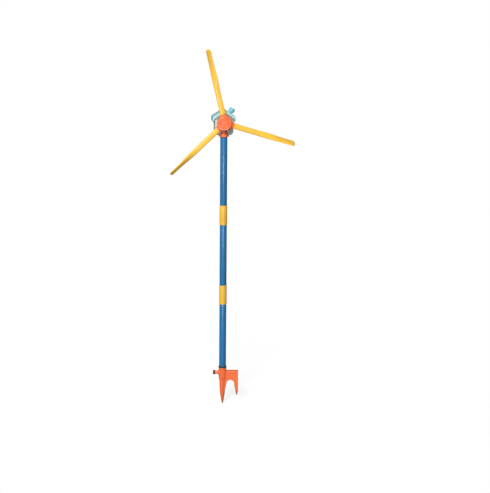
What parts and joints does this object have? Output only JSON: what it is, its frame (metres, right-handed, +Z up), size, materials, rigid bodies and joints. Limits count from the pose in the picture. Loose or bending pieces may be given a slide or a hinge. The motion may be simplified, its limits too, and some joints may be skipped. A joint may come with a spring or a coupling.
{
  "type": "garden wind turbine",
  "caption": "Three-blade horizontal-axis wind turbine toy on a sectional pole with a ground spike, a gabled swivelling head and a side knob.",
  "frame": {"origin": "on the pole's axis at ground level, 95 mm above the tip of the ground spike", "axes": "+Z up the pole; +X towards the spike's tread plate; -Y is the side that the rotor faces at rest, turned 8 degrees towards +X"},
  "size_m": [0.4324, 0.1121, 1.2932],
  "materials": {
    "orange": "moulded, semi-gloss",
    "yellow": "moulded, semi-gloss",
    "blue": "extruded tube, semi-gloss",
    "teal": "moulded, satin",
    "light_blue": "moulded, satin",
    "pale_grey": "moulded, satin",
    "dark_red": "moulded, matt",
    "rubber": "matt",
    "steel": "plated",
    "white_nylon": "moulded, matt",
    "black": "moulded, matt",
    "board_green": "laminate board"
  },
  "bodies": {
    "mast": {"ground_spike": "orange", "spigot_plug": "dark_red", "seal_ring": "rubber", "lower_tube": "blue", "middle_tube": "blue", "upper_tube": "blue", "lower_coupler": "yellow", "upper_coupler": "yellow", "neck_collar": "orange", "yaw_washer": "steel", "yaw_screw": "steel"},
    "head": {"nacelle_front": "pale_grey", "nacelle_rear": "pale_grey", "roof_cover": "teal", "front_bush": "white_nylon", "rear_bush": "white_nylon", "generator": "steel", "generator_clamp": "black", "circuit_board": "board_green", "switch_body": "black", "case_screw_1": "steel", "case_screw_2": "steel", "case_screw_3": "steel"},
    "rotor": {"hub_body": "orange", "hub_cap": "orange", "blade_1": "yellow", "blade_2": "yellow", "blade_3": "yellow", "rotor_shaft": "steel", "hub_screw": "steel", "hub_spacer": "white_nylon", "shaft_clip": "steel", "drive_gear": "white_nylon"},
    "pinion": {"pinion": "white_nylon", "generator_shaft": "steel"},
    "knob": {"switch_knob": "light_blue", "knob_spindle": "steel"}
  },
  "joints": [
    {"name": "head_yaw", "type": "hinge", "parent": "mast", "child": "head", "pos_m": [0, 0, 0.9213], "axis": [0, 0, 1], "continuous": true},
    {"name": "rotor_spin", "type": "hinge", "parent": "head", "child": "rotor", "pos_m": [0.00397, -0.02822, 0.946], "axis": [0.1392, -0.9903, 0], "continuous": true},
    {"name": "pinion_spin", "type": "hinge", "parent": "head", "child": "pinion", "pos_m": [-0.02095, 0.02412, 0.94134], "axis": [0.1392, -0.9903, 0], "continuous": true},
    {"name": "knob_turn", "type": "hinge", "parent": "head", "child": "knob", "pos_m": [0.02004, 0.00686, 0.97699], "axis": [0.5393, 0.0758, 0.8387], "range_deg": [0, 90]}
  ],
  "couplings": [
    {"joint": "pinion_spin", "follows": "rotor_spin", "ratio": -4}
  ]
}
